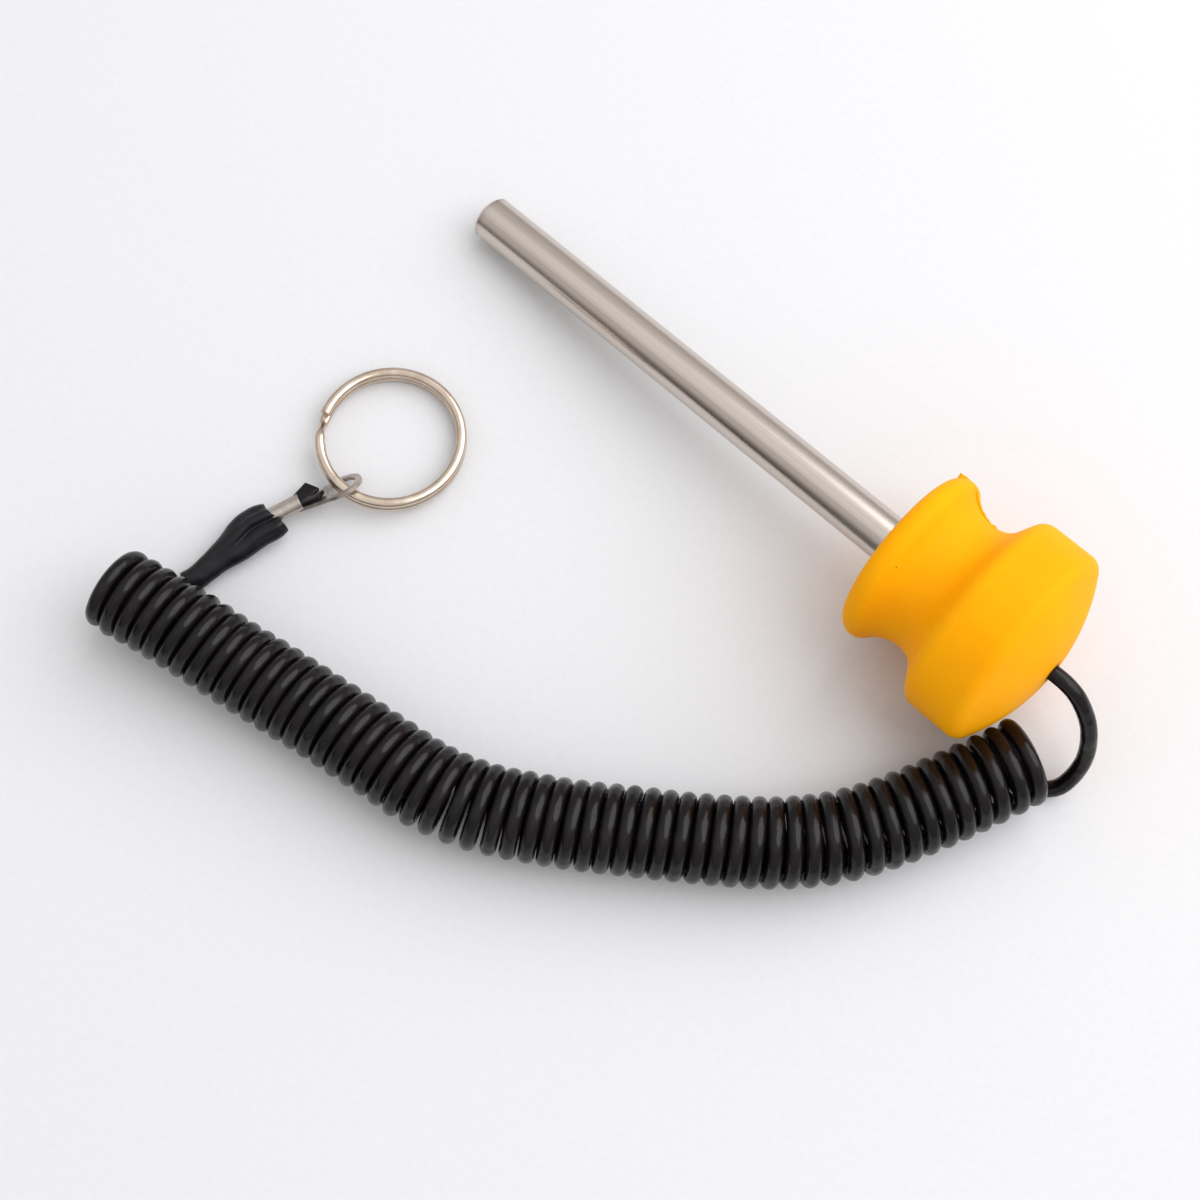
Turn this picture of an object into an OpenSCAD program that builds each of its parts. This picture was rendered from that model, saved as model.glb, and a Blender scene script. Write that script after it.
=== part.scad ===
// Weight stack pin: a steel shank moulded into a plastic knob, with a coiled tether cord that ends
// in a crimped ring terminal and a split ring. Millimetres, +X runs from the shank's tip to the knob.

/* [Shank] */
// Diameter of the steel shank
shank_d = 10; // [8:0.5:12]
// Length of shank that stands out of the knob
shank_reach = 117.5; // [100:0.5:140]
// Chamfer round the shank's tip
tip_chamfer = 0.7; // [0.3:0.1:1.5]
// Length of shank moulded into the knob
shank_seat = 20; // [18:0.5:22]
// Depth of the step where the shank is turned down to enter the knob
seat_step = 0.3; // [0.2:0.05:0.6]
// Plain length of shank inside the knob, before the first grip groove
grip_start = 4; // [3:0.5:5]
// Number of grip grooves turned in the seated length
grip_count = 4; // [2:1:5]
// Width of a grip groove
grip_w = 1.6; // [1:0.1:2]
// Depth of a grip groove
grip_depth = 0.5; // [0.3:0.1:1]

/* [Knob] */
// Length of the knob from the front face to the top of the dome
knob_len = 38.1; // [36:0.1:42]
// Diameter of the front lip
lip_d = 38.8; // [36:0.2:42]
// Rounding of the front lip
lip_round = 3; // [2:0.1:4]
// Diameter at the bottom of the finger groove
waist_d = 30.2; // [27:0.2:33]
// Radius of the groove's long sweep behind the lip
lip_sweep = 9; // [8:0.1:11]
// Radius of the groove's tight sweep in front of the shoulder
shoulder_sweep = 5.5; // [5:0.1:6.5]
// Slope of the shoulder's wall
shoulder_slope = 59; // [50:1:65]
// Rounding of the shoulder
shoulder_round = 3; // [2:0.1:4]
// Diameter of the rim, the knob's widest part
rim_d = 44.6; // [42:0.2:48]
// Rounding of the rim at the back
rim_round = 3; // [2:0.1:4]
// Radius of the domed back
dome_r = 42.3; // [38:0.1:50]

/* [Cord] */
// Diameter of the cord
cord_d = 3.4; // [3:0.1:3.8]
// Outer diameter of the coil
coil_d = 18; // [16.5:0.1:18.4]
// Clearance round the cord in the knob's hole
cord_gap = 0.2; // [0.1:0.05:0.4]

/* [Cord stop] */
// Diameter of the ferrule that holds the cord in the knob
stop_d = 8; // [6:0.5:9.5]
// Length of the ferrule
stop_len = 7; // [5:0.5:9]

/* [Sleeve] */
// Wall of the shrunk sleeve where it grips the cord
sleeve_wall = 0.5; // [0.3:0.05:0.8]
// Width of the sleeve where it covers the terminal's barrel
bell_w = 7.6; // [6:0.1:8]
// Height of the sleeve where it covers the terminal's barrel
bell_h = 5.4; // [4.8:0.1:5.8]

/* [Terminal] */
// Thickness of the terminal's folded sheet
sheet_t = 0.75; // [0.6:0.05:0.9]
// Outer diameter of the terminal's eye
eye_d = 9.3; // [8.8:0.1:9.8]
// Diameter of the hole in the eye
eye_hole_d = 6.6; // [6.2:0.1:6.8]
// Distance from the middle of the eye to the end of the barrel
eye_reach = 8.9; // [8:0.1:10]
// Width of the crimped barrel
barrel_w = 3.9; // [3.5:0.1:4.5]
// Height of the crimped barrel
barrel_h = 3.3; // [3.1:0.1:3.5]
// Length of the barrel
barrel_len = 11.4; // [10:0.1:13]
// Length of barrel that shows in front of the sleeve
barrel_show = 6.4; // [5:0.1:7]
// Width of the barrel's seam
seam_w = 0.2; // [0.1:0.05:0.4]
// Turn of the terminal about its own length, away from lying flat
eye_roll = 50; // [47:1:60]

/* [Split ring] */
// Outer diameter of the split ring
ring_d = 32; // [30:0.5:34]
// Width of the ring's wire across the ring
wire_w = 2.2; // [1.8:0.1:2.4]
// Height of the ring's wire
wire_h = 1.8; // [1.5:0.05:1.85]
// Rounding of the wire's corners
wire_round = 0.75; // [0.4:0.05:0.8]
// Gap between the two turns of wire
turn_gap = 0.1; // [0.05:0.05:0.2]
// Angle over which the wire steps from one turn to the other
step_angle = 17; // [14:1:26]
// Width of the wire along its step
step_w = 1.3; // [1:0.1:1.5]

/* [Hidden] */
$fn = 96;

shank_r = shank_d / 2;
seat_r = shank_r - seat_step;
lip_r = lip_d / 2;
waist_r = waist_d / 2;
rim_r = rim_d / 2;
cord_r = cord_d / 2;
coil_r = coil_d / 2;

// Points of the knob's section, as [radius, distance from its front face], where its arcs meet.
sweep_rise = waist_r + lip_sweep - (lip_r - lip_round);
waist_s = lip_round + sqrt(pow(lip_round + lip_sweep, 2) - pow(sweep_rise, 2));
wall_dir = [sin(shoulder_slope), cos(shoulder_slope)];
wall_start = [waist_r + shoulder_sweep * (1 - wall_dir[1]), waist_s + shoulder_sweep * wall_dir[0]];
shoulder_edge = wall_start + (rim_r - wall_start[0]) / wall_dir[0] * wall_dir;
shoulder_cut = shoulder_round * tan(shoulder_slope / 2);
shoulder_c = shoulder_edge + [-shoulder_round, shoulder_cut];
dome_s = knob_len - dome_r;
rim_c = [rim_r - rim_round,
         dome_s + sqrt(pow(dome_r - rim_round, 2) - pow(rim_r - rim_round, 2))];

// The pin lies on the chamfer of its tip and on the knob's shoulder or its rim.
function lean(c, round_r) =
    let (run = shank_reach - tip_chamfer + c[1], drop = c[0] - shank_r)
    asin(round_r / norm([run, drop])) + atan(drop / run);
pitch = max(lean(shoulder_c, shoulder_round), lean(rim_c, rim_round));
axis_dir = [cos(pitch), 0, sin(pitch)];
tip_min = -(shank_r - tip_chamfer) * sin(pitch);
dome_max = (shank_reach + dome_s) * cos(pitch) + dome_r;
tip = [-(tip_min + dome_max) / 2, 0, shank_r * cos(pitch) - tip_chamfer * sin(pitch)];

// The ferrule sits against the shank's end and the cord leaves through the dome.
stop_s = shank_reach + shank_seat;
pole_s = shank_reach + knob_len;

// The terminal stands on the lower edge of its eye, and its barrel lies off the tongue's plane.
heading = 71;
rise = 3.5;
crimp_step = 0.05;
barrel_lift = (barrel_h - sheet_t) / 2 + crimp_step;
eye_z = eye_d / 2 * sin(eye_roll) + sheet_t / 2 * cos(eye_roll) + 0.1;
eye_at = [-55.5, -65.6, eye_z];

// The split ring hangs in the eye on one side and lies on the floor on the other.
mean_r = (ring_d - wire_w) / 2;
pair_h = 2 * wire_h + turn_gap;
ring_tilt = asin((eye_z - pair_h / 2) / (mean_r + ring_d / 2));
hinge_at = eye_at + [-0.6, 0, 0];
ring_at = hinge_at + [0, mean_r * cos(ring_tilt), -mean_r * sin(ring_tilt)];
step_start = 208;
end_gap = 3.5;

// Route of the cord's middle from the top of the dome to the coil.
lead_route = [[80.5, 0, 24.6], [84.1, -0.2, 23.2], [87.9, -1, 19.5], [90.5, -2.3, 15.5],
              [92.5, -4.1, 10.5], [93.3, -6.7, 6.5], [93, -9.9, 3.6], [91.1, -13.9, 1.8],
              [88.4, -16.9, 2.6]];
// Route of the coil's middle.
coil_route = [[-70.5, -113.3, 12.4], [-66.5, -112.1, 12.4], [-55.1, -109.2, 11.4],
              [-43.6, -106.8, 9.8], [-31.8, -104.1, 9.1], [-20, -101.6, 9.1], [-8.1, -99.3, 9.1],
              [3.1, -97, 9.1], [12.9, -93.1, 9.1], [21.6, -87.8, 9.1], [29.9, -82.1, 9.1],
              [37.6, -76.2, 9.1], [45.4, -70.3, 9.1], [53, -64.2, 9.1], [60.3, -57.7, 9.1],
              [66.7, -50.4, 9.1], [71.9, -42.1, 9.1], [76.4, -32.8, 9.1], [80.6, -22.8, 9.1],
              [83.3, -15.9, 9.1]];
// Route of the cord's middle from the coil, under it and into the sleeve.
tail_route = [[-68.3, -120.4, 11], [-67.4, -121, 8], [-66.1, -120.3, 5], [-65.4, -118, 2.8],
              [-64.8, -114.5, 1.9], [-64.2, -109, 1.8], [-63.7, -103.5, 2], [-63.5, -99.6, 2.4],
              [-63.5, -96.2, 2.7], [-63.5, -93.1, 2.9], [-63.2, -89.5, 3.2]];
coil_sides = 20;
cord_sides = 8;

// ---- Vectors and sweeps ----

function unit(v) = v / norm(v);

// A point on the pin's axis, measured from the tip.
function on_axis(s) = tip + s * axis_dir;

// A point on the smooth curve through p, between p[i] and p[i + 1].
function eased(p, i, t) =
    let (a = p[max(i - 1, 0)], b = p[i], c = p[i + 1], d = p[min(i + 2, len(p) - 1)])
    0.5 * (2 * b + (c - a) * t + (2 * a - 5 * b + 4 * c - d) * t * t
        + (3 * b - 3 * c + d - a) * t * t * t);

function smooth(p, steps) =
    [for (i = [0:len(p) - 2]) for (k = [0:steps - 1]) eased(p, i, k / steps), p[len(p) - 1]];

function course(p, i) = unit(p[min(i + 1, len(p) - 1)] - p[max(i - 1, 0)]);

// A vector square to the path, carried along it without twist.
function carried(p, i) =
    i == 0 ? unit(cross(course(p, 0), [0.3, 0.2, 1]))
    : let (c = course(p, i), s = carried(p, i - 1)) unit(s - (s * c) * c);

// An oval of points round centre, half_a along side and half_b along up.
function oval(centre, side, up, half_a, half_b, count) =
    [for (k = [0:count - 1]) let (a = 360 * k / count)
        centre + half_a * cos(a) * side + half_b * sin(a) * up];

// Rings of a round tube along path, with one radius for each point.
function tube_rings(path, radii, count) =
    [for (i = [0:len(path) - 1]) let (s = carried(path, i))
        oval(path[i], s, cross(course(path, i), s), radii[i], radii[i], count)];

// Rings whose ovals keep one axis level.
function level_rings(path, half_a, half_b, count) =
    [for (i = [0:len(path) - 1]) let (c = course(path, i), s = unit(cross([0, 0, 1], c)))
        oval(path[i], s, cross(c, s), half_a[i], half_b[i], count)];

// The closed skin over a row of rings: capped at both ends, or joined into a loop.
module skin(rings, loop = false) {
    n = len(rings);
    m = len(rings[0]);
    walls = [for (i = [0:n - (loop ? 1 : 2)]) for (k = [0:m - 1])
        let (j = (i + 1) % n, l = (k + 1) % m) [i * m + k, j * m + k, j * m + l, i * m + l]];
    caps = loop ? [] : [[for (k = [0:m - 1]) k], [for (k = [m - 1:-1:0]) (n - 1) * m + k]];
    polyhedron([for (r = rings) each r], concat(walls, caps));
}

function even(value, count) = [for (i = [1:count]) value];

// ---- Placing ----

module along_pin(s) {
    translate(on_axis(s)) rotate([0, 90 - pitch, 0]) children();
}

module at_eye() {
    translate(eye_at) rotate([-eye_roll, -rise, heading]) children();
}

// The point x along the terminal from its eye and z off its plane.
function eye_point(x, z) =
    let (y1 = z * sin(eye_roll), z1 = z * cos(eye_roll),
         x2 = x * cos(rise) - z1 * sin(rise), z2 = x * sin(rise) + z1 * cos(rise))
    eye_at + [x2 * cos(heading) - y1 * sin(heading), x2 * sin(heading) + y1 * cos(heading), z2];

// ---- Shank and knob ----

module shank_form() {
    grip_step = (shank_seat - grip_start) / grip_count;
    difference() {
        union() {
            cylinder(h = tip_chamfer, r1 = shank_r - tip_chamfer, r2 = shank_r);
            translate([0, 0, tip_chamfer]) cylinder(h = shank_reach - tip_chamfer, r = shank_r);
            translate([0, 0, tip_chamfer]) cylinder(h = stop_s - tip_chamfer, r = seat_r);
        }
        for (i = [0:grip_count - 1])
            translate([0, 0, shank_reach + grip_start + i * grip_step])
                difference() {
                    cylinder(h = grip_w, r = shank_r + 1);
                    translate([0, 0, -1]) cylinder(h = grip_w + 2, r = seat_r - grip_depth);
                }
    }
}

module shank() {
    color([0.66, 0.64, 0.62]) along_pin(0) shank_form();
}

// Half of the knob's section: x is the radius and y the distance from the front face.
module knob_section() {
    lip_c = [lip_r - lip_round, lip_round];
    sweep_c = [waist_r + lip_sweep, waist_s];
    lip_end = lip_c + lip_round * unit(sweep_c - lip_c);
    wall_end = shoulder_edge - shoulder_cut * wall_dir;
    dome_end = rim_c + rim_round * unit(rim_c - [0, dome_s]);
    difference() {
        union() {
            polygon([[0, 0], [lip_c[0], 0], lip_c, lip_end, [waist_r, waist_s], wall_start, wall_end,
                     shoulder_c, shoulder_c + [shoulder_round, 0], rim_c + [rim_round, 0], rim_c, dome_end,
                     [0, dome_end[1]]]);
            translate(lip_c) circle(lip_round);
            translate(shoulder_c) circle(shoulder_round);
            translate(rim_c) circle(rim_round);
            intersection() {
                translate([0, dome_s]) circle(dome_r);
                translate([0, dome_end[1] - 1]) square([dome_end[0], knob_len]);
            }
        }
        intersection() {
            translate(sweep_c) circle(lip_sweep);
            translate([0, lip_end[1]]) square([rim_d, waist_s - lip_end[1]]);
        }
        intersection() {
            translate([waist_r + shoulder_sweep, waist_s]) circle(shoulder_sweep);
            translate([0, waist_s]) square([rim_d, shoulder_sweep]);
        }
    }
}

// The knob is moulded round the shank and the ferrule, and the cord's hole runs out of its dome.
module knob() {
    color([1, 0.78, 0.05])
        difference() {
            along_pin(shank_reach) rotate_extrude() knob_section();
            along_pin(0) shank_form();
            along_pin(stop_s) cylinder(h = stop_len, d = stop_d);
            along_pin(stop_s) cylinder(h = knob_len, r = cord_r + cord_gap);
        }
}

module cord_stop() {
    color([0.75, 0.73, 0.7])
        along_pin(stop_s)
            difference() {
                cylinder(h = stop_len, d = stop_d);
                translate([0, 0, -1]) cylinder(h = stop_len + 2, r = cord_r);
            }
}

// ---- Cord ----

module lead_cord() {
    inside = [on_axis(stop_s), on_axis(stop_s + stop_len), on_axis(pole_s - 1)];
    path = concat(inside, smooth(lead_route, 3));
    color([0.06, 0.06, 0.07]) skin(tube_rings(path, even(cord_r, len(path)), cord_sides));
}

module cord_coil() {
    path = smooth(coil_route, 2);
    color([0.08, 0.08, 0.09]) skin(level_rings(path, even(coil_r, len(path)),
                                               even(coil_r, len(path)), coil_sides));
}

// The cord is squeezed thin in the barrel, and its cut end stands out above the tongue.
module tail_cord() {
    core_r = barrel_h / 2 - sheet_t;
    stub_r = cord_r * 0.75;
    free = smooth(tail_route, 2);
    squeezed = [eye_point(-eye_reach - barrel_len, barrel_lift), eye_point(-eye_reach, barrel_lift)];
    stub = [eye_point(-eye_reach + 1.2, sheet_t / 2 + stub_r + 0.1),
            eye_point(-eye_reach + 4.2, sheet_t / 2 + stub_r + 0.3)];
    radii = concat(even(cord_r, len(free)), even(core_r - 0.05, 2), even(stub_r, 2));
    color([0.06, 0.06, 0.07]) skin(tube_rings(concat(free, squeezed, stub), radii, cord_sides));
}

// ---- Sleeve, terminal and ring ----

// The sleeve is shrunk tight on the cord and swells over the terminal's barrel.
module shrink_sleeve() {
    neck = [for (i = [7:9]) tail_route[i]];
    path = concat(neck, [tail_route[10], eye_point(-eye_reach - barrel_len, barrel_lift),
                         eye_point(-eye_reach - barrel_show, barrel_lift)]);
    grip_r = cord_r + sleeve_wall;
    outer_a = [grip_r, grip_r, grip_r + 0.1, bell_w * 0.44, bell_w / 2, bell_w * 0.42];
    outer_b = [grip_r, grip_r, grip_r + 0.1, bell_h * 0.47, bell_h / 2, bell_h / 2];
    inner_r = [cord_r, cord_r, cord_r, cord_r + 0.2, barrel_w / 2 + 0.1, barrel_w / 2 + 0.1];
    outer = level_rings(path, outer_a, outer_b, 16);
    inner = level_rings(path, inner_r, inner_r, 16);
    color([0.12, 0.12, 0.13])
        skin([each outer, for (i = [len(path) - 1:-1:0]) inner[i]], loop = true);
}

module stadium(w, h) {
    for (side = [-1, 1]) translate([side * (w - h) / 2, 0]) circle(d = h);
    square([w - h, h], center = true);
}

// One folded sheet: the tongue runs on from the barrel's wall and widens into the eye.
module ring_terminal() {
    core_w = barrel_w - 2 * sheet_t;
    core_h = barrel_h - 2 * sheet_t;
    // The tongue's edges run from the barrel to just inside the round of the eye.
    edge = acos((eye_d - barrel_w) / 2 / eye_reach);
    touch = 0.97 * eye_d / 2 * [-cos(edge), sin(edge)];
    color([0.8, 0.78, 0.76])
        at_eye() {
            translate([0, 0, -sheet_t / 2])
                linear_extrude(sheet_t)
                    difference() {
                        union() {
                            circle(d = eye_d);
                            polygon([[-eye_reach - 1, -barrel_w / 4], touch - [0, 2 * touch[1]], touch,
                                     [-eye_reach - 1, barrel_w / 4]]);
                        }
                        circle(d = eye_hole_d);
                    }
            translate([-eye_reach - barrel_len, 0, barrel_lift])
                rotate([90, 0, 90])
                    linear_extrude(barrel_len)
                        difference() {
                            stadium(barrel_w, barrel_h);
                            stadium(core_w, core_h);
                            translate([-seam_w / 2, 0]) square([seam_w, barrel_h]);
                        }
        }
}

module wire_section(w) {
    edge_w = w / 2 - wire_round;
    edge_h = wire_h / 2 - wire_round;
    for (a = [-1, 1]) for (b = [-1, 1]) translate([a * edge_w, b * edge_h]) circle(wire_round);
    square([w, 2 * edge_h], center = true);
    square([2 * edge_w, wire_h], center = true);
}

// The wire goes round twice and steps from the lower turn to the upper one beside its own ends.
module split_ring() {
    turn_z = (wire_h + turn_gap) / 2;
    turn = 360 - step_angle - end_gap;
    parts = 4;
    color([0.83, 0.82, 0.8])
        translate(ring_at) rotate([-ring_tilt, 0, 0]) rotate([0, 0, step_start]) {
            rotate([0, 0, step_angle])
                translate([0, 0, turn_z])
                    rotate_extrude(angle = turn) translate([mean_r, 0]) wire_section(wire_w);
            rotate([0, 0, step_angle + end_gap])
                translate([0, 0, -turn_z])
                    rotate_extrude(angle = turn) translate([mean_r, 0]) wire_section(wire_w);
            for (i = [0:parts - 1])
                hull()
                    for (k = [i, i + 1])
                        rotate([0, 0, step_angle * k / parts])
                            translate([mean_r, 0, -turn_z * cos(180 * k / parts)])
                                cube([step_w, 0.4, wire_h - 0.4], center = true);
        }
}

shank();
knob();
cord_stop();
lead_cord();
cord_coil();
tail_cord();
shrink_sleeve();
ring_terminal();
split_ring();
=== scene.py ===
import math

import bmesh
import bpy
import numpy as np
from mathutils import Matrix, Vector, noise


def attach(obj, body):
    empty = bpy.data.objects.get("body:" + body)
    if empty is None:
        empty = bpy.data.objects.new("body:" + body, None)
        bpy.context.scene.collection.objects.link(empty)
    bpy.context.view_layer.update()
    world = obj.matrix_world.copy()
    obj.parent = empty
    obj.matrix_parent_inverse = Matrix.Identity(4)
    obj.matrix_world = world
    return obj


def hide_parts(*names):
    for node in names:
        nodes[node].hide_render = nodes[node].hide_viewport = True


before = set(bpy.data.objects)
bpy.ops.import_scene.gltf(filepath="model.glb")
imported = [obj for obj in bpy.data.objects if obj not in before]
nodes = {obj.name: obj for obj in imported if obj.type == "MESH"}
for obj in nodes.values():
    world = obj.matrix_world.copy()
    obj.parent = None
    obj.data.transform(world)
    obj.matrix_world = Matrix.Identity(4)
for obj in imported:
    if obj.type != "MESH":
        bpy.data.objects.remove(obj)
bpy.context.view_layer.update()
scene = bpy.context.scene
mm = 0.001  # sizes and places are in millimetres, and meshes in metres
print("frame loaded:", len(nodes), "solids")


def linear(hexColour):
    # an sRGB hex colour as linear red, green, blue and a full alpha
    channels = [int(hexColour[i:i + 2], 16) / 255 for i in (1, 3, 5)]
    return [c / 12.92 if c <= 0.04045 else ((c + 0.055) / 1.055) ** 2.4
            for c in channels] + [1]


def addNode(tree, kind, values=None, **settings):
    # values are the node's inputs, each a number, a colour or another node's output
    node = tree.nodes.new(kind)
    for name, value in settings.items():
        setattr(node, name, value)
    for socket, value in (values or {}).items():
        if isinstance(value, bpy.types.NodeSocket):
            tree.links.new(value, node.inputs[socket])
        else:
            node.inputs[socket].default_value = value
    return node


def colourStops(ramp, stops):
    # stops are (place, hex colour) pairs
    points = ramp.color_ramp.elements
    while len(points) < len(stops):
        points.new(0.5)
    for point, (place, colour) in zip(points, stops):
        point.position = place
        point.color = linear(colour)


def newMaterial(name):
    # an empty material, with the place of each point of the piece in metres
    material = bpy.data.materials.new(name)
    material.use_nodes = True
    tree = material.node_tree
    tree.nodes.clear()
    place = addNode(tree, "ShaderNodeTexCoord").outputs["Object"]
    return material, tree, place


def moved(place):
    return Matrix.Translation(Vector(place))


def turned(degrees, axis):
    return Matrix.Rotation(math.radians(degrees), 4, axis)


def unit(rows):
    return rows / np.linalg.norm(rows, axis=-1, keepdims=True)


def smoothRoute(points, steps=12):
    # a smooth curve through all the points, with this many steps from one to the next
    rows = np.array(points, float)
    padded = np.vstack([rows[:1], rows, rows[-1:]])
    out = []
    for i in range(len(rows) - 1):
        a, b, c, d = padded[i:i + 4]
        for k in range(steps):
            t = k / steps
            out.append(0.5 * (2 * b + (c - a) * t + (2 * a - 5 * b + 4 * c - d) * t ** 2
                              + (3 * b - 3 * c + d - a) * t ** 3))
    return np.array(out + [rows[-1]])


def runLength(path):
    # how far along the path each of its points is
    return np.concatenate([[0], np.cumsum(np.linalg.norm(np.diff(path, axis=0), axis=1))])


def atLength(path, places):
    run = runLength(path)
    return np.stack([np.interp(places, run, column) for column in path.T], 1)


def evenly(path, step):
    # the same path with its points about one step apart
    length = runLength(path)[-1]
    return atLength(path, np.linspace(0, length, max(2, int(round(length / step)) + 1)))


def bandFaces(rings, around, closed=False):
    # four-sided faces between rings of points, and from the last ring to the first if closed
    return [(i * around + k, i * around + (k + 1) % around,
             (i + 1) % rings * around + (k + 1) % around, (i + 1) % rings * around + k)
            for i in range(rings if closed else rings - 1) for k in range(around)]


def addPiece(name, mesh, material, smooth=True):
    mesh.materials.clear()
    mesh.materials.append(material)
    mesh.polygons.foreach_set("use_smooth", [smooth] * len(mesh.polygons))
    piece = bpy.data.objects.new(name, mesh)
    scene.collection.objects.link(piece)
    return piece


def pieceFromBmesh(name, work, material, smooth=True):
    # turns every face outwards first
    bmesh.ops.recalc_face_normals(work, faces=work.faces)
    mesh = bpy.data.meshes.new(name)
    work.to_mesh(mesh)
    work.free()
    return addPiece(name, mesh, material, smooth)


def pieceFromFaces(name, points, faces, material, smooth=True):
    work = bmesh.new()
    verts = [work.verts.new(point) for point in points]
    for face in faces:
        work.faces.new([verts[k] for k in face])
    return pieceFromBmesh(name, work, material, smooth)


def sweepTree(name, sizes, drawSection, normals):
    # a tree that sweeps a section along a line of points; sizes are the section's named inputs
    tree = bpy.data.node_groups.new(name, "GeometryNodeTree")
    for title, kind in (("Geometry", "Geometry"), *sizes, ("Material", "Material")):
        tree.interface.new_socket(title, in_out="INPUT", socket_type="NodeSocket" + kind)
    tree.interface.new_socket("Geometry", in_out="OUTPUT", socket_type="NodeSocketGeometry")
    given = addNode(tree, "NodeGroupInput").outputs
    line = addNode(tree, "GeometryNodeMeshToCurve", {"Mesh": given["Geometry"]})
    level = addNode(tree, "GeometryNodeSetCurveNormal", {"Curve": line.outputs[0]},
                    mode=normals)
    tube = addNode(tree, "GeometryNodeCurveToMesh", {
        "Curve": level.outputs[0], "Profile Curve": drawSection(tree, given),
        "Fill Caps": True})
    shaded = addNode(tree, "GeometryNodeSetShadeSmooth", {"Geometry": tube.outputs[0]})
    real = addNode(tree, "GeometryNodeRealizeInstances", {"Geometry": shaded.outputs[0]})
    finished = addNode(tree, "GeometryNodeSetMaterial", {
        "Geometry": real.outputs[0], "Material": given["Material"]})
    addNode(tree, "NodeGroupOutput", {0: finished.outputs[0]})
    return tree


def sweep(name, points, tree, sizes, material):
    # the points go through the tree as a modifier, and the result is made a plain mesh
    line = bpy.data.meshes.new(name)
    line.from_pydata([tuple(p) for p in points],
                     [(i, i + 1) for i in range(len(points) - 1)], [])
    carrier = bpy.data.objects.new(name, line)
    scene.collection.objects.link(carrier)
    modifier = carrier.modifiers.new("sweep", "NODES")
    modifier.node_group = tree
    wanted = dict(sizes, Material=material)
    for socket in tree.interface.items_tree:
        if socket.in_out == "INPUT" and socket.name in wanted:
            modifier[socket.identifier] = wanted[socket.name]
    shape = carrier.evaluated_get(bpy.context.evaluated_depsgraph_get())
    mesh = bpy.data.meshes.new_from_object(shape)
    bpy.data.objects.remove(carrier)
    return addPiece(name, mesh, material)


camera = dict(
    place=(79.06, -123.73, 414.40),
    forward=(-0.24966, 0.26209, -0.93219),
    up=(-0.64297, 0.67496, 0.36197),
    lens=61.85,
    sensor=36,
    shift=(-0.0129, -0.1848),
    clip=(10, 20000),
)


def makeCamera():
    forward = Vector(camera["forward"]).normalized()
    right = forward.cross(Vector(camera["up"])).normalized()
    axes = Matrix((right, right.cross(forward), -forward)).transposed().to_4x4()
    data = bpy.data.cameras.new("camera")
    data.sensor_width = camera["sensor"]
    data.lens = camera["lens"]
    data.shift_x, data.shift_y = camera["shift"]
    data.clip_start, data.clip_end = (distance * mm for distance in camera["clip"])
    viewer = bpy.data.objects.new("camera", data)
    viewer.matrix_world = moved(Vector(camera["place"]) * mm) @ axes
    scene.collection.objects.link(viewer)
    scene.camera = viewer


makeCamera()
print("camera set")


# the pin leans up towards its knob, because it rests on its tip and on the knob's big rim
pin = dict(pitch=7.14793, tip=(-77.0922, 0, 4.8740), reach=117.5, knobLength=38.1)
pitch = math.radians(pin["pitch"])
pinDirection = np.array([math.cos(pitch), 0, math.sin(pitch)])
pinTip = np.array(pin["tip"])
poleRun = pin["reach"] + pin["knobLength"]  # from the tip to the middle of the domed back


def onAxis(s):
    return pinTip + s * pinDirection


# the terminal stands on the edge of its eye: roll about its barrel, rise and heading in degrees
terminal = dict(
    eye=(-55.5, -65.6, 3.9032),
    roll=50,
    rise=3.5,
    heading=71,
    eyeReach=8.9,  # from the middle of the eye to the barrel's front
    barrelLength=11.4,
    barrelLift=1.325,
)
eyeFrame = (moved(terminal["eye"]) @ turned(terminal["heading"], "Z")
            @ turned(-terminal["rise"], "Y") @ turned(-terminal["roll"], "X"))


def inBarrel(depth):
    # a point on the barrel's middle line, this deep from its back edge
    back = -terminal["eyeReach"] - terminal["barrelLength"]
    return tuple(eyeFrame @ Vector((back + depth, 0, terminal["barrelLift"])))


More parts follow.
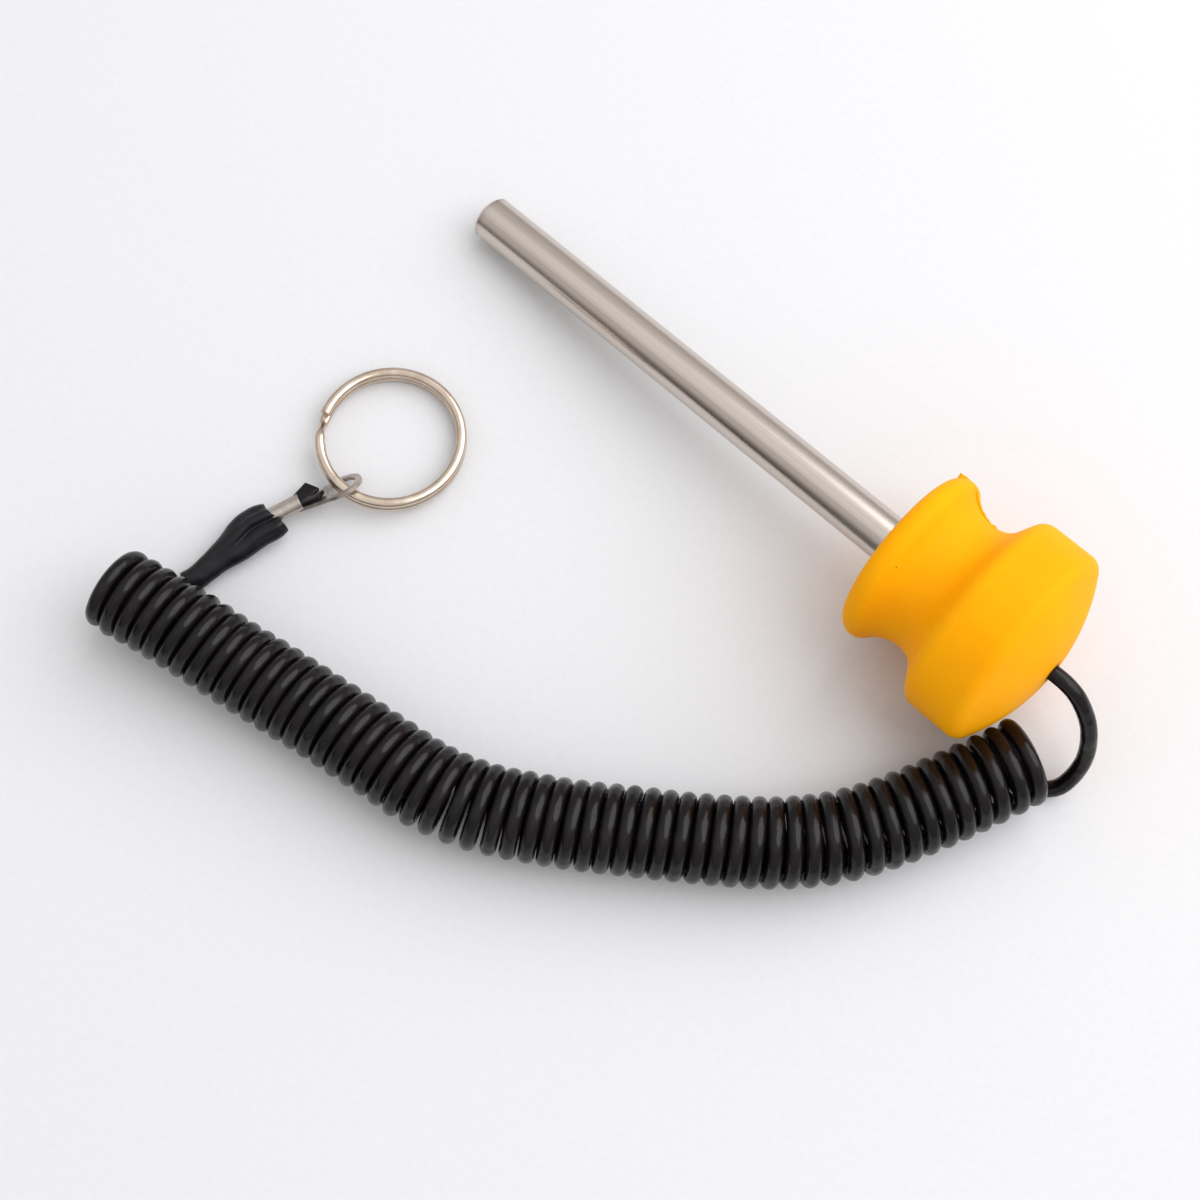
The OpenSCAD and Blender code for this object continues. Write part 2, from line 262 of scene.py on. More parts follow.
# Ground stainless bar: fine marks run along the bar, so highlights stretch into long soft lines.
def makeSteel():
    material, tree, place = newMaterial("groundStainless")
    # a pattern space whose x runs along the bar from its tip
    start = -Vector(pinTip * mm)
    start.rotate(Matrix.Rotation(pitch, 3, "Y"))
    along = addNode(tree, "ShaderNodeMapping", {
        "Vector": place, "Location": start, "Rotation": (0, pitch, 0)})
    # marks 125 mm long and 0.4 mm apart, coarser than real ones so that they show
    stretched = addNode(tree, "ShaderNodeMapping", {
        "Vector": along.outputs[0], "Scale": (8, 2400, 2400)})
    streaks = addNode(tree, "ShaderNodeTexNoise", {
        "Vector": stretched.outputs[0], "Scale": 1, "Detail": 4, "Roughness": 0.6})
    tone = addNode(tree, "ShaderNodeValToRGB", {"Fac": streaks.outputs["Fac"]})
    colourStops(tone, [(0.3, "#CBC0B6"), (0.7, "#D3C9C0")])
    # brown stain left in the turned chamfer, gone 1.9 mm from the tip and uneven round it
    blotches = addNode(tree, "ShaderNodeTexNoise", {"Vector": place, "Scale": 60, "Detail": 3})
    split = addNode(tree, "ShaderNodeSeparateXYZ", {"Vector": along.outputs[0]})
    nearTip = addNode(tree, "ShaderNodeMapRange", {
        "Value": split.outputs["X"], "From Min": 0.4 * mm, "From Max": 1.9 * mm,
        "To Min": 0.75, "To Max": 0.0})
    stain = addNode(tree, "ShaderNodeMath", {
        0: nearTip.outputs[0], 1: blotches.outputs["Fac"]}, operation="MULTIPLY")
    stained = addNode(tree, "ShaderNodeMix", {
        "Factor": stain.outputs[0], "A": tone.outputs[0], "B": linear("#6B4E37")},
        data_type="RGBA")
    rough = addNode(tree, "ShaderNodeMapRange", {
        "Value": streaks.outputs["Fac"], "From Min": 0.25, "From Max": 0.75,
        "To Min": 0.22, "To Max": 0.27})
    relief = addNode(tree, "ShaderNodeBump", {
        "Height": streaks.outputs["Fac"], "Strength": 0.01, "Distance": 0.1 * mm})
    shader = addNode(tree, "ShaderNodeBsdfPrincipled", {
        "Base Color": stained.outputs["Result"], "Metallic": 1.0,
        "Roughness": rough.outputs[0], "Normal": relief.outputs[0]})
    addNode(tree, "ShaderNodeOutputMaterial", {"Surface": shader.outputs[0]})
    return material


# Injection-moulded polypropylene: an even strong yellow with a satin skin, and light is carried
# a little way inside.
def makeYellow():
    material, tree, place = newMaterial("mouldedPolypropylene")
    # faint clouds of 11 mm
    mottle = addNode(tree, "ShaderNodeTexNoise", {"Vector": place, "Scale": 90, "Detail": 3})
    tone = addNode(tree, "ShaderNodeValToRGB", {"Fac": mottle.outputs["Fac"]})
    colourStops(tone, [(0.3, "#FFA700"), (0.7, "#FFAE00")])
    # a few scorch specks up to 0.9 mm across, each in a cell of 5 mm that mostly stays bare
    cells = addNode(tree, "ShaderNodeTexVoronoi", {"Vector": place, "Scale": 210})
    near = addNode(tree, "ShaderNodeMath", {0: cells.outputs["Distance"], 1: 0.09},
                   operation="LESS_THAN")
    cellTone = addNode(tree, "ShaderNodeSeparateColor", {"Color": cells.outputs["Color"]})
    few = addNode(tree, "ShaderNodeMath", {0: cellTone.outputs[0], 1: 0.965},
                  operation="GREATER_THAN")
    speck = addNode(tree, "ShaderNodeMath", {0: near.outputs[0], 1: few.outputs[0]},
                    operation="MULTIPLY")
    specked = addNode(tree, "ShaderNodeMix", {
        "Factor": speck.outputs[0], "A": tone.outputs[0], "B": linear("#7A4A12")},
        data_type="RGBA")
    # painted shade round the hole's rim, where the cord goes into the knob: a darker orange, gone
    # 3.1 mm from the hole's middle
    away = addNode(tree, "ShaderNodeVectorMath", {0: place, 1: tuple(onAxis(poleRun) * mm)},
                   operation="DISTANCE")
    holeShade = addNode(tree, "ShaderNodeMapRange", {
        "Value": away.outputs["Value"], "From Min": 1.9 * mm, "From Max": 3.1 * mm,
        "To Min": 0.5, "To Max": 0.0})
    # the painted shade at the hole is mixed over the yellow here
    holeShaded = addNode(tree, "ShaderNodeMix", {
        "Factor": holeShade.outputs[0], "A": specked.outputs["Result"], "B": linear("#8A5A10")},
        data_type="RGBA")
    rough = addNode(tree, "ShaderNodeMapRange", {
        "Value": mottle.outputs["Fac"], "From Min": 0.3, "From Max": 0.7,
        "To Min": 0.55, "To Max": 0.66})
    # the mould's fine grain, 0.7 mm so that it shows
    grain = addNode(tree, "ShaderNodeTexNoise", {"Vector": place, "Scale": 1500, "Detail": 3})
    relief = addNode(tree, "ShaderNodeBump", {
        "Height": grain.outputs["Fac"], "Strength": 0.12, "Distance": 0.1 * mm})
    shader = addNode(tree, "ShaderNodeBsdfPrincipled", {
        "Base Color": holeShaded.outputs["Result"], "Roughness": rough.outputs[0], "IOR": 1.45,
        "Specular IOR Level": 0.1, "Subsurface Weight": 0.12,
        "Subsurface Radius": (1.0, 0.3, 0.02), "Subsurface Scale": 5 * mm,
        "Normal": relief.outputs[0]})
    addNode(tree, "ShaderNodeOutputMaterial", {"Surface": shader.outputs[0]})
    return material


# Extruded black polyurethane: dark and glossy, with a faint brown bloom and rub marks.
def makeJacket():
    material, tree, place = newMaterial("extrudedPolyurethane")
    # bloom in clouds of 7 mm
    bloom = addNode(tree, "ShaderNodeTexNoise", {"Vector": place, "Scale": 150, "Detail": 4})
    tone = addNode(tree, "ShaderNodeValToRGB", {"Fac": bloom.outputs["Fac"]})
    colourStops(tone, [(0.35, "#0A0708"), (0.7, "#171214")])
    # rub marks of 2 mm
    scuffs = addNode(tree, "ShaderNodeTexNoise", {
        "Vector": place, "Scale": 520, "Detail": 2, "Distortion": 0.6})
    rough = addNode(tree, "ShaderNodeMapRange", {
        "Value": scuffs.outputs["Fac"], "From Min": 0.35, "From Max": 0.7,
        "To Min": 0.15, "To Max": 0.3})
    # the extruded surface ripples every 3 mm, so highlights break up along a turn
    ripple = addNode(tree, "ShaderNodeTexNoise", {"Vector": place, "Scale": 300, "Detail": 1})
    relief = addNode(tree, "ShaderNodeBump", {
        "Height": ripple.outputs["Fac"], "Strength": 0.7, "Distance": 0.4 * mm})
    shader = addNode(tree, "ShaderNodeBsdfPrincipled", {
        "Base Color": tone.outputs[0], "Roughness": rough.outputs[0], "IOR": 1.5,
        "Specular IOR Level": 0.28, "Normal": relief.outputs[0]})
    addNode(tree, "ShaderNodeOutputMaterial", {"Surface": shader.outputs[0]})
    return material


# Heat-shrunk polyolefin: satin charcoal, finely crinkled where it drew in.
def makeSleeveBlack():
    material, tree, place = newMaterial("shrunkPolyolefin")
    # crinkles of 2 mm
    crinkle = addNode(tree, "ShaderNodeTexNoise", {"Vector": place, "Scale": 450, "Detail": 4})
    tone = addNode(tree, "ShaderNodeValToRGB", {"Fac": crinkle.outputs["Fac"]})
    colourStops(tone, [(0.3, "#131215"), (0.75, "#201F23")])
    rough = addNode(tree, "ShaderNodeMapRange", {
        "Value": crinkle.outputs["Fac"], "From Min": 0.3, "From Max": 0.7,
        "To Min": 0.2, "To Max": 0.34})
    relief = addNode(tree, "ShaderNodeBump", {
        "Height": crinkle.outputs["Fac"], "Strength": 0.3, "Distance": 0.2 * mm})
    shader = addNode(tree, "ShaderNodeBsdfPrincipled", {
        "Base Color": tone.outputs[0], "Roughness": rough.outputs[0], "IOR": 1.5,
        "Specular IOR Level": 0.25, "Normal": relief.outputs[0]})
    addNode(tree, "ShaderNodeOutputMaterial", {"Surface": shader.outputs[0]})
    return material


# Tin-plated copper sheet, stamped and crimped: warm grey and half dull, with scratches from
# the tool.
def makeTinned():
    material, tree, place = newMaterial("tinPlatedCopper")
    # scratches along the barrel, 4 mm long and 0.5 mm apart
    headed = addNode(tree, "ShaderNodeMapping", {
        "Vector": place, "Rotation": (0, 0, math.radians(-terminal["heading"]))})
    drawn = addNode(tree, "ShaderNodeMapping", {
        "Vector": headed.outputs[0], "Scale": (250, 2200, 2200)})
    scratches = addNode(tree, "ShaderNodeTexNoise", {
        "Vector": drawn.outputs[0], "Scale": 1, "Detail": 3})
    # dull clouds of 2 mm
    clouds = addNode(tree, "ShaderNodeTexNoise", {"Vector": place, "Scale": 500, "Detail": 3})
    tone = addNode(tree, "ShaderNodeValToRGB", {"Fac": clouds.outputs["Fac"]})
    colourStops(tone, [(0.3, "#A89E95"), (0.7, "#C9C0B8")])
    rough = addNode(tree, "ShaderNodeMapRange", {
        "Value": scratches.outputs["Fac"], "From Min": 0.3, "From Max": 0.7,
        "To Min": 0.28, "To Max": 0.46})
    relief = addNode(tree, "ShaderNodeBump", {
        "Height": scratches.outputs["Fac"], "Strength": 0.2, "Distance": 0.1 * mm})
    shader = addNode(tree, "ShaderNodeBsdfPrincipled", {
        "Base Color": tone.outputs[0], "Metallic": 1.0, "Roughness": rough.outputs[0],
        "Normal": relief.outputs[0]})
    addNode(tree, "ShaderNodeOutputMaterial", {"Surface": shader.outputs[0]})
    return material


# Nickel-plated spring wire: bright and smooth with a warm cast, dulled in patches by handling.
def makeNickel():
    material, tree, place = newMaterial("nickelPlatedWire")
    # patches of 5 mm
    haze = addNode(tree, "ShaderNodeTexNoise", {"Vector": place, "Scale": 220, "Detail": 4})
    tone = addNode(tree, "ShaderNodeValToRGB", {"Fac": haze.outputs["Fac"]})
    colourStops(tone, [(0.3, "#C4B2A0"), (0.7, "#DACBBB")])
    rough = addNode(tree, "ShaderNodeMapRange", {
        "Value": haze.outputs["Fac"], "From Min": 0.3, "From Max": 0.7,
        "To Min": 0.14, "To Max": 0.26})
    # the drawn wire's fine marks under the plating, 0.6 mm so that they show
    fine = addNode(tree, "ShaderNodeTexNoise", {"Vector": place, "Scale": 1800, "Detail": 2})
    relief = addNode(tree, "ShaderNodeBump", {
        "Height": fine.outputs["Fac"], "Strength": 0.06, "Distance": 0.1 * mm})
    shader = addNode(tree, "ShaderNodeBsdfPrincipled", {
        "Base Color": tone.outputs[0], "Metallic": 1.0, "Roughness": rough.outputs[0],
        "Normal": relief.outputs[0]})
    addNode(tree, "ShaderNodeOutputMaterial", {"Surface": shader.outputs[0]})
    return material


# Zinc-plated ferrule, sealed inside the knob: dull grey with a fine crystal pattern.
def makeZinc():
    material, tree, place = newMaterial("zincPlatedSteel")
    # crystals of 1 mm
    crystals = addNode(tree, "ShaderNodeTexVoronoi", {"Vector": place, "Scale": 900})
    tone = addNode(tree, "ShaderNodeValToRGB", {"Fac": crystals.outputs["Distance"]})
    colourStops(tone, [(0.2, "#A9ABAC"), (0.8, "#C2C4C5")])
    shader = addNode(tree, "ShaderNodeBsdfPrincipled", {
        "Base Color": tone.outputs[0], "Metallic": 1.0, "Roughness": 0.42})
    addNode(tree, "ShaderNodeOutputMaterial", {"Surface": shader.outputs[0]})
    return material


# Matt white card: even, with a fine tooth.
def makeCard():
    material, tree, place = newMaterial("mattCard")
    # fibres of 1.4 mm, so that they show
    fibre = addNode(tree, "ShaderNodeTexNoise", {"Vector": place, "Scale": 700, "Detail": 2})
    tone = addNode(tree, "ShaderNodeValToRGB", {"Fac": fibre.outputs["Fac"]})
    colourStops(tone, [(0.2, "#DDDEDF"), (0.8, "#E1E1E2")])
    shader = addNode(tree, "ShaderNodeBsdfPrincipled", {
        "Base Color": tone.outputs[0], "Roughness": 0.9, "Specular IOR Level": 0.1})
    addNode(tree, "ShaderNodeOutputMaterial", {"Surface": shader.outputs[0]})
    return material


steel, yellow, jacket = makeSteel(), makeYellow(), makeJacket()
sleeveBlack, tinned, nickel = makeSleeveBlack(), makeTinned(), makeNickel()
zinc, card = makeZinc(), makeCard()
for nodeName, material in (("shank", steel), ("knob", yellow), ("cord_stop", zinc),
                           ("ring_terminal", tinned)):
    for slot in nodes[nodeName].material_slots:
        slot.material = material
print("materials made")


cord = dict(
    diameter=3.4,
    turnRadius=7.3,
    turns=55.805,
    startAngle=-10,  # where the first turn starts, from the near side towards the top
    pitchLeft=3.48,
    pitchRight=3.85,
    gaps=((81, 0.6, 3), (88, 0.3, 3), (157, 0.6, 2.5), (189, 0.7, 2)),  # place, width, spread
    wander=0.12,  # how unlike each other the turns are in radius
    wanderRate=0.37,  # and how fast that changes, per turn
    sway=0.1,  # the same for their place along the coil
    swayRate=0.9,
    step=1.1,
    sides=14,
)
leadRoute = [(80.5, 0, 24.6), (84.1, -0.2, 23.2), (87.9, -1, 19.5), (90.5, -2.3, 15.5),
             (92.5, -4.1, 10.5), (93.3, -6.7, 6.5), (93, -9.9, 3.6), (91.5, -12.9, 1.9),
             (89, -14.2, 1.75)]
coilRoute = [(-70.5, -113.3, 12.4), (-66.5, -112.1, 12.4), (-55.1, -109.2, 11.4),
             (-43.6, -106.8, 9.8), (-31.8, -104.1, 9.1), (-20, -101.6, 9.1),
             (-8.1, -99.3, 9.1), (3.1, -97, 9.1), (12.9, -93.1, 9.1), (21.6, -87.8, 9.1),
             (29.9, -82.1, 9.1), (37.6, -76.2, 9.1), (45.4, -70.3, 9.1), (53, -64.2, 9.1),
             (60.3, -57.7, 9.1), (66.7, -50.4, 9.1), (71.9, -42.1, 9.1), (76.4, -32.8, 9.1),
             (80.6, -22.8, 9.1), (83.3, -15.9, 9.1), (84.8, -11.4, 9.1)]
tailRoute = [(-69.5, -117.9, 6.8), (-71, -114.1, 5), (-70.4, -110.5, 3.3),
             (-68.4, -107.2, 2.2), (-66, -104.4, 1.9), (-64.4, -101.9, 2.1),
             (-63.6, -99.2, 2.4), (-63.5, -96.2, 2.7), (-63.5, -93.1, 2.9),
             (-63.2, -89.5, 3.2)]


def softened(rows, reach):
    # each row averaged with its neighbours, as far as this many rows each way
    window = np.hanning(2 * reach + 3)[1:-1]
    padded = np.pad(rows, ((reach, reach), (0, 0)), mode="edge")
    return np.stack([np.convolve(column, window / window.sum(), mode="valid")
                     for column in padded.T], 1)


def coilTurns():
    # the cord's middle line along the coil, from the left end to the knob's end
    core = evenly(smoothRoute(coilRoute, 30), 0.25)
    run = runLength(core)
    share = run / run[-1]
    pitchHere = cord["pitchLeft"] + (cord["pitchRight"] - cord["pitchLeft"]) * share
    for place, extra, spread in cord["gaps"]:
        pitchHere = pitchHere + extra * np.exp(-((run - place) / spread) ** 2)
    wound = np.concatenate([[0], np.cumsum(0.5 * (1 / pitchHere[1:] + 1 / pitchHere[:-1])
                                           * np.diff(run))])
    wound *= cord["turns"] / wound[-1]
    turn = np.linspace(0, cord["turns"], int(cord["turns"] * 60))  # 60 points to a turn
    where = np.interp(turn, wound, run)
    middle = atLength(core, where)
    course = softened(np.gradient(core, run, axis=0), 40)  # over 10 mm each way
    ahead = unit(np.stack([np.interp(where, run, column) for column in course.T], 1))
    over = unit(np.array([0, 0, 1]) - ahead * ahead[:, 2:3])
    near = np.cross(ahead, over)
    phase = np.radians(cord["startAngle"]) + 2 * np.pi * turn
    # real turns are never quite alike
    wander = np.array([noise.noise((t * cord["wanderRate"], 1.5, 0.2)) for t in turn])
    sway = np.array([noise.noise((t * cord["swayRate"], 7.1, 3.3)) for t in turn])
    radius = cord["turnRadius"] + cord["wander"] * (wander - 1)
    outwards = np.cos(phase)[:, None] * near + np.sin(phase)[:, None] * over
    return middle + ahead * cord["sway"] * sway[:, None] + radius[:, None] * outwards


def joined(parts, step, blend, passes):
    # end to end, then softened over a little more than the blend on each side of a join
    whole = np.vstack(parts)
    joins = runLength(whole)[np.cumsum([len(part) for part in parts[:-1]]) - 1]
    path = evenly(whole, step)
    run = runLength(path)
    weight = np.zeros(len(path))
    for place in joins:
        weight = np.maximum(weight, np.clip(1.3 - np.abs(run - place) / blend, 0, 1))
    weight[0] = weight[-1] = 0
    for i in range(passes):
        soft = path.copy()
        soft[1:-1] = 0.25 * path[:-2] + 0.5 * path[1:-1] + 0.25 * path[2:]
        path += (soft - path) * weight[:, None]
    return path


def roundSection(tree, given):
    return addNode(tree, "GeometryNodeCurvePrimitiveCircle", {
        "Resolution": given["Sides"], "Radius": given["Radius"]}).outputs[0]


# the cord starts 9 mm inside the knob and ends 1.5 mm inside the barrel
lead = np.vstack([[onAxis(poleRun - 9)], [onAxis(poleRun - 5)],
                  smoothRoute([onAxis(poleRun - 1)] + leadRoute)])
tail = smoothRoute(tailRoute + [inBarrel(0), inBarrel(1.5)])
cordLine = joined([lead, coilTurns()[::-1], tail], step=0.3, blend=5, passes=220)
cordPath = evenly(cordLine, cord["step"]) * mm
cordTree = sweepTree("roundSweep", (("Radius", "Float"), ("Sides", "Int")), roundSection,
                     normals="MINIMUM_TWIST")
cordPiece = sweep("tetherCord", cordPath, cordTree,
                  {"Radius": cord["diameter"] / 2 * mm, "Sides": cord["sides"]}, jacket)


sleeve = dict(
    wall=0.55,
    overBarrel=5.1,  # how far it covers the barrel
    # run from the neck's start, half width to the left, to the right, up, down
    stations=((0, 2.4, 2.7, 2.15, 2.1), (4, 2.4, 2.9, 2.1, 2.1), (7, 2.4, 3.4, 2.1, 2.1),
              (9.5, 2.6, 4.0, 2.3, 2.2), (12, 3.2, 4.6, 2.55, 2.5),
              (14, 3.6, 5.1, 2.7, 2.65), (16.5, 3.7, 5.4, 2.7, 2.7),
              (19.5, 3.6, 5.3, 2.7, 2.7), (21, 3.4, 5.0, 2.6, 2.65),
              (21.8, 3.1, 4.5, 2.4, 2.5)),
    # the shrunk tube follows the barrel: height, angle from the left over the top and spread
    # in radians
    lobes=((0.35, 1.55, 0.35), (-1.0, 2.15, 0.22), (0.45, 2.55, 0.15), (-0.25, 0.75, 0.4)),
    lobesFrom=0.42,  # the share of the length where they start
    lobesFull=0.72,  # and where they are full
    crinkle=0.07,
    mouthSlant=1.6,
    mouthFrom=0.75,  # the share of the length where the slant starts
    mouthAngle=2.9,  # where the mouth reaches furthest
    lipInset=0.12,
    lipReach=0.1,
    tableGap=0.05,
    around=72,
    rings=44,
)


def makeSleeve():
    route = tailRoute[-5:] + [inBarrel(0), inBarrel(sleeve["overBarrel"])]
    core = evenly(smoothRoute(route), 0.2)
    length = runLength(core)[-1]
    table = np.array(sleeve["stations"], float)
    table[:, 0] *= length / table[-1, 0]
    angles = [2 * math.pi * k / sleeve["around"] for k in range(sleeve["around"])]

    def section(place, inset, slant):
        before, middle, after = atLength(
            core, [max(place - 0.4, 0), place, min(place + 0.4, length)])
        ahead = unit(after - before)
        side = unit(np.cross([0, 0, 1], ahead))
        over = np.cross(ahead, side)
        left, right, top, bottom = (np.interp(place, table[:, 0], column)
                                    for column in table.T[1:])
        swell = np.clip((place / length - sleeve["lobesFrom"])
                        / (sleeve["lobesFull"] - sleeve["lobesFrom"]), 0, 1)
        out = []
        for angle in angles:
            c, s = math.cos(angle), math.sin(angle)
            reach = 1 / math.hypot(c / (left if c > 0 else right), s / (top if s > 0 else bottom))
            for height, at, spread in sleeve["lobes"]:
                reach += swell * height * math.exp(-((angle - at) / spread) ** 2)
            crinkle = noise.noise((c * 1.2, s * 1.2, place * 0.45))
            reach += sleeve["crinkle"] * crinkle * (0.5 + swell)
            push = slant * (0.75 * math.cos(angle - sleeve["mouthAngle"])
                            + 0.25 * math.cos(2 * angle))
            out.append(middle + ahead * push + (reach - inset) * (c * side + s * over))
        return out

    def slantAt(place):
        late = (place / length - sleeve["mouthFrom"]) / (1 - sleeve["mouthFrom"])
        return sleeve["mouthSlant"] * np.clip(late, 0, 1)

    places = np.linspace(0, length, sleeve["rings"])
    lipSlant = sleeve["mouthSlant"] + sleeve["lipReach"]
    rings = [section(place, 0, slantAt(place)) for place in places]
    rings.append(section(length, sleeve["lipInset"], lipSlant))
    rings.append(section(length, sleeve["wall"] - sleeve["lipInset"], lipSlant))
    rings += [section(place, sleeve["wall"], slantAt(place)) for place in places[::-1]]
    points = np.vstack(rings)
    points[:, 2] = np.maximum(points[:, 2], sleeve["tableGap"])
    faces = bandFaces(len(rings), sleeve["around"], closed=True)
    return pieceFromFaces("shrinkSleeve", points * mm, faces, sleeveBlack)


sleevePiece = makeSleeve()
print("sleeve made")


# the cord's cut end: two flaps that lie on the tongue
stub = dict(
    # in the terminal's frame, with turns in degrees, and cut is how far the end is askew
    flaps=(dict(start=(-8.9, 0.9, 1.6), size=(4.1, 3.3, 1.4), turn=30, lift=6, roll=40,
                cut=-0.4),
           dict(start=(-8.9, -0.9, 1.0), size=(4.7, 1.9, 1.2), turn=-5, lift=0, roll=8,
                cut=0.6)),
    rootDepth=0.6,
    rootWidth=0.8,  # a share of the flap's width
    endThick=0.85,  # and of its thickness
    rounding=0.28,
    facets=3,
)


def makeStub():
    work = bmesh.new()
    for flap in stub["flaps"]:
        length, width, thick = flap["size"]
        spread = (moved(flap["start"]) @ turned(flap["turn"], "Z")
                  @ turned(-flap["lift"], "Y") @ turned(flap["roll"], "X"))
        for vert in bmesh.ops.create_cube(work, size=1)["verts"]:
            x, y, z = vert.co
            if x > 0:
                x = length + flap["cut"] * y * 2
                z *= stub["endThick"]
            else:
                x = -stub["rootDepth"]
                y *= stub["rootWidth"]
            vert.co = eyeFrame @ (spread @ Vector((x, y * width, z * thick)))
    bmesh.ops.bevel(work, geom=list(work.edges), offset=stub["rounding"],
                    segments=stub["facets"], profile=0.6, affect="EDGES")
    bmesh.ops.scale(work, verts=work.verts, vec=(mm, mm, mm))
    return pieceFromBmesh("cordStub", work, jacket)


stubPiece = makeStub()
print("cut end made")


ring = dict(
    middle=(-56.1, -50.733, 2.913),
    tilt=3.81,
    radius=14.9,
    wireWidth=2.2,
    wireHeight=1.8,
    corner=0.87,  # the radius of the wire's corners
    cornerPoints=4,
    turnHeight=0.95,  # each turn's height over or under the middle
    stepStart=208,  # degrees, where the wire steps from the lower turn to the upper one
    stepAngle=17,
    stepSlim=0.24,  # the share of its width that the wire loses on the step
    stepSpread=0.36,  # how wide that is, as a share of the step
    endGap=3.5,  # degrees from the step to each end of the wire
    angleStep=2.5,
)


def wireSection(tree, given):
    flat = addNode(tree, "GeometryNodeCurvePrimitiveQuadrilateral", {
        "Width": given["Width"], "Height": given["Height"]}, mode="RECTANGLE")
    return addNode(tree, "GeometryNodeFilletCurve", {
        "Curve": flat.outputs[0], "Radius": given["Corner"], "Count": ring["cornerPoints"]},
        mode="POLY").outputs[0]


def makeRing():
    start, step, gap = ring["stepStart"], ring["stepAngle"], ring["endGap"]
    angles = np.arange(start + step + gap - 360, start + 360 - gap + 0.01, ring["angleStep"])
    height = -ring["turnHeight"] * np.cos(np.pi * np.clip((angles - start) / step, 0, 1))
    turn = np.radians(angles)
    radius = ring["radius"] * mm
    line = np.stack([radius * np.cos(turn), radius * np.sin(turn), height * mm], 1)
    tree = sweepTree("wireSweep", (("Width", "Float"), ("Height", "Float"),
                                   ("Corner", "Float")), wireSection, normals="Z_UP")
    piece = sweep("splitRing", line, tree, {
        "Width": ring["wireWidth"] * mm, "Height": ring["wireHeight"] * mm,
        "Corner": ring["corner"] * mm}, nickel)
    lean = moved(Vector(ring["middle"]) * mm) @ turned(-ring["tilt"], "X")
    for vert in piece.data.vertices:
        x, y, z = vert.co
        away = math.degrees(math.atan2(y, x)) % 360
        fromStep = (away - start - step / 2) / (step * ring["stepSpread"])
        slim = ring["stepSlim"] * math.exp(-fromStep ** 4)
        reach = math.hypot(x, y)
        scale = (radius + (reach - radius) * (1 - slim)) / reach
        vert.co = lean @ Vector((x * scale, y * scale, z))
    return piece


ringPiece = makeRing()
print("ring made:", len(ringPiece.data.polygons), "faces")


# mould flash, a burr along one side of the knob
flash = dict(
    # run from the knob's front face, and radius
    outline=((0.2, 16.9), (1.0, 18.8), (3.0, 19.4), (5.0, 18.7), (7.4, 16.9), (10, 15.6),
             (13, 15.1), (15.6, 15.6), (17.8, 17.0), (20.5, 19.6), (22, 21.0)),
    side=28,  # degrees up from the +y side
    high=0.2,
    thick=0.18,
    sunk=0.4,
    bumps=((1.1, 0.75, 0.28), (1.9, 0.25, 0.5), (12.4, 0.3, 0.4), (14.8, 0.25, 0.4),
           (17.4, 0.6, 0.3), (18.6, 0.25, 0.6)),  # run, height, spread
)


def makeFlash():
    route = evenly(smoothRoute(flash["outline"]), 0.3)
    last = len(route) - 1
    turn = math.radians(flash["side"])
    side = np.array([-math.sin(pitch) * math.sin(turn), math.cos(turn),
                     math.cos(pitch) * math.sin(turn)])
    half = np.cross(pinDirection, side) * flash["thick"] / 2
    points = []
    for i, (s, r) in enumerate(route):
        ahead = unit(route[min(i + 1, last)] - route[max(i - 1, 0)])
        tall = flash["high"] * max(0.1, 0.6 + 1.6 * noise.noise((s * 0.9, r * 0.8, 4.0)))
        for place, more, spread in flash["bumps"]:
            tall += more * math.exp(-((s - place) / spread) ** 2)
        tall *= min(1, i / 4, (last - i) / 4)  # fades out at both ends
        # the skin of the knob, the burr's edge over it and its root under it
        middle, crown, root = (
            onAxis(pin["reach"] + s - ahead[1] * out) + side * (r + ahead[0] * out)
            for out in (0, tall, -flash["sunk"]))
        points += [root - half, root + half, middle + half, crown, middle - half]
    around = 5
    faces = bandFaces(len(route), around)
    faces.append(tuple(range(around - 1, -1, -1)))
    faces.append(tuple(last * around + k for k in range(around)))
    return pieceFromFaces("mouldFlash", np.array(points) * mm, faces, yellow)


flashPiece = makeFlash()
print("mould flash made")


# headings and heights are in degrees, and distances here are in metres
studio = dict(
    floorHalf=2.5,
    keyPower=12.6,
    keyColour="#FBFBFF",
    keySize=1.5,
    keyDistance=1.1,
    keyHeading=62,
    keyHeight=52,
    world=1.0,
    fill="#DFDEDE",
    # what gloss and metal see, from eye level, 0, to straight up, 1
    walls=((0.0, "#A8A5A3"), (0.15, "#BBB8B6"), (0.5, "#CDCAC8"), (0.74, "#D8D5D4"),
           (0.83, "#FFFFFF"), (1.0, "#F4F3F3")),
    darkSide=(-0.36, -0.93, 0),
    darkEdge=(0.9, 0.99),  # where it starts and is full, as cosines of the angle from it
    darkColour="#5A5654",
)


def makeFloor():
    half = studio["floorHalf"]
    corners = [(-half, -half, 0), (half, -half, 0), (half, half, 0), (-half, half, 0)]
    pieceFromFaces("floor", corners, [(0, 1, 2, 3)], card, smooth=False)


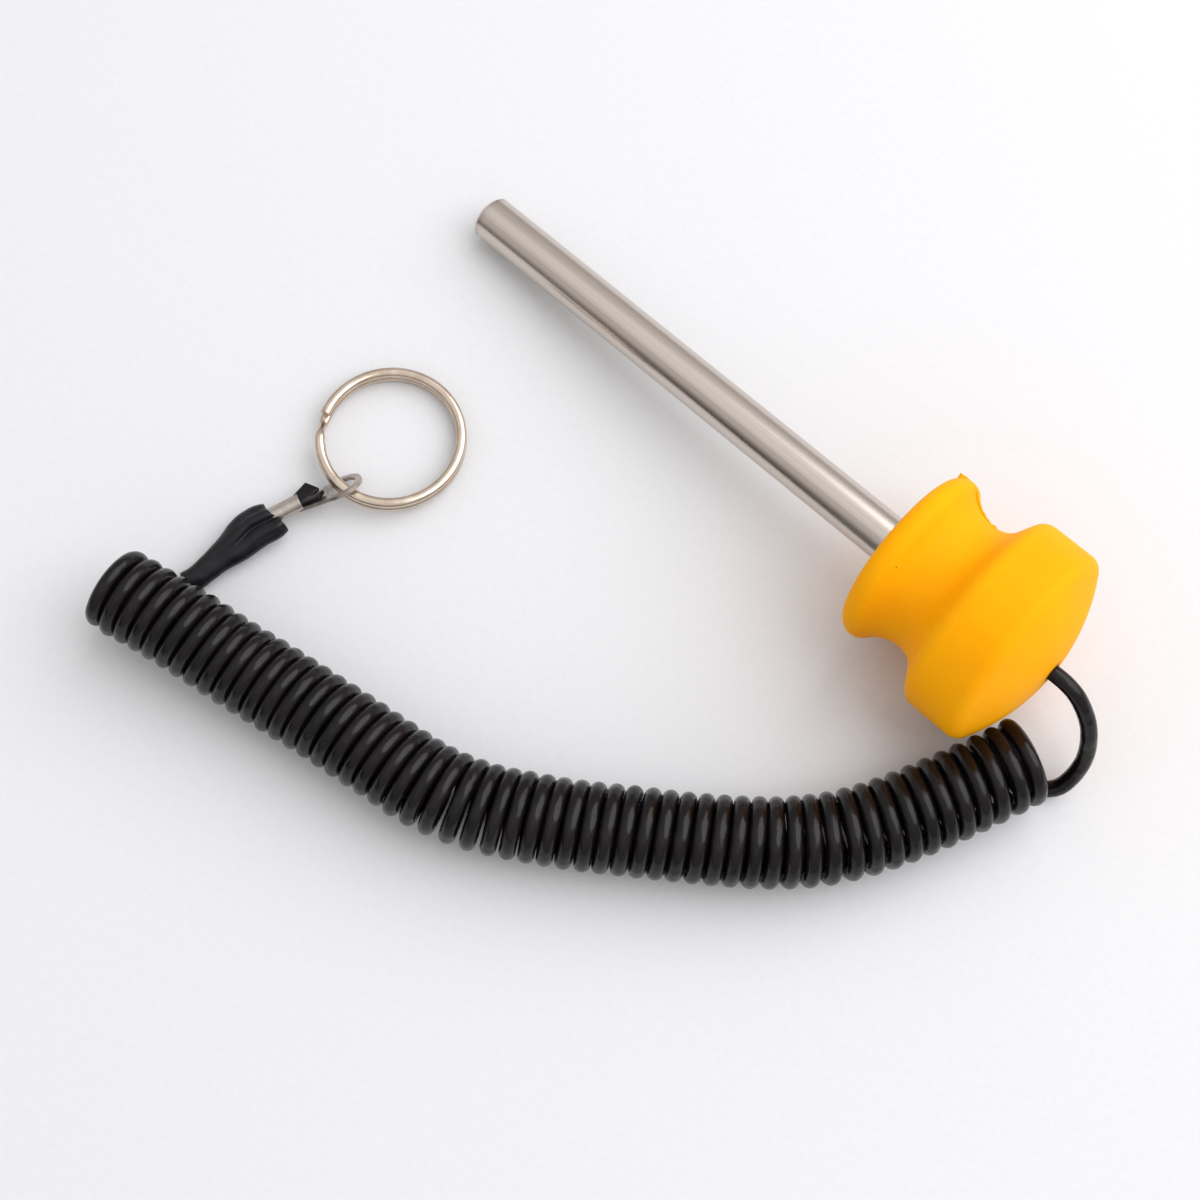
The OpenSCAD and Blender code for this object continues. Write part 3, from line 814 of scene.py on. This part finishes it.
def makeKey():
    heading, height = math.radians(studio["keyHeading"]), math.radians(studio["keyHeight"])
    toKey = Vector((math.cos(heading) * math.cos(height), math.sin(heading) * math.cos(height),
                    math.sin(height)))
    data = bpy.data.lights.new("window", "AREA")
    data.shape = "DISK"
    data.size = studio["keySize"]
    data.energy = studio["keyPower"]
    data.color = linear(studio["keyColour"])[:3]
    key = bpy.data.objects.new("window", data)
    key.matrix_world = (moved(toKey * studio["keyDistance"])
                        @ toKey.to_track_quat("Z", "Y").to_matrix().to_4x4())
    scene.collection.objects.link(key)


def makeRoom():
    # an even fill for matt surfaces; gloss and metal see walls that are grey at eye level and
    # white overhead, with one narrow dark side, so that they show soft bands
    room = bpy.data.worlds.new("room")
    room.use_nodes = True
    tree = room.node_tree
    tree.nodes.clear()
    facing = addNode(tree, "ShaderNodeTexCoord").outputs["Generated"]
    split = addNode(tree, "ShaderNodeSeparateXYZ", {"Vector": facing})
    walls = addNode(tree, "ShaderNodeValToRGB", {"Fac": split.outputs["Z"]})
    colourStops(walls, studio["walls"])
    toDark = addNode(tree, "ShaderNodeVectorMath", {0: facing, 1: studio["darkSide"]},
                     operation="DOT_PRODUCT")
    share = addNode(tree, "ShaderNodeMapRange", {
        "Value": toDark.outputs["Value"], "From Min": studio["darkEdge"][0],
        "From Max": studio["darkEdge"][1]})
    shown = addNode(tree, "ShaderNodeMix", {
        "Factor": share.outputs[0], "A": walls.outputs[0], "B": linear(studio["darkColour"])},
        data_type="RGBA")
    gloss = addNode(tree, "ShaderNodeLightPath").outputs["Is Glossy Ray"]
    seen = addNode(tree, "ShaderNodeMix", {
        "Factor": gloss, "A": linear(studio["fill"]), "B": shown.outputs["Result"]},
        data_type="RGBA")
    shine = addNode(tree, "ShaderNodeBackground", {
        "Color": seen.outputs["Result"], "Strength": studio["world"]})
    addNode(tree, "ShaderNodeOutputWorld", {"Surface": shine.outputs[0]})
    scene.world = room


makeFloor()
makeKey()
makeRoom()
scene.view_settings.view_transform = "Standard"
print("floor and light set")


for piece, body, slotName, replaced in (
        (cordPiece, "pin", "cord_jacket", ("lead_cord", "cord_coil", "tail_cord")),
        (sleevePiece, "pin", "sleeve", ("shrink_sleeve",)),
        (stubPiece, "pin", "cord_jacket", ()),
        (flashPiece, "pin", "yellow_plastic", ()),
        (ringPiece, "ring", "nickel", ("split_ring",))):
    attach(piece, body)
    if replaced:
        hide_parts(*replaced)
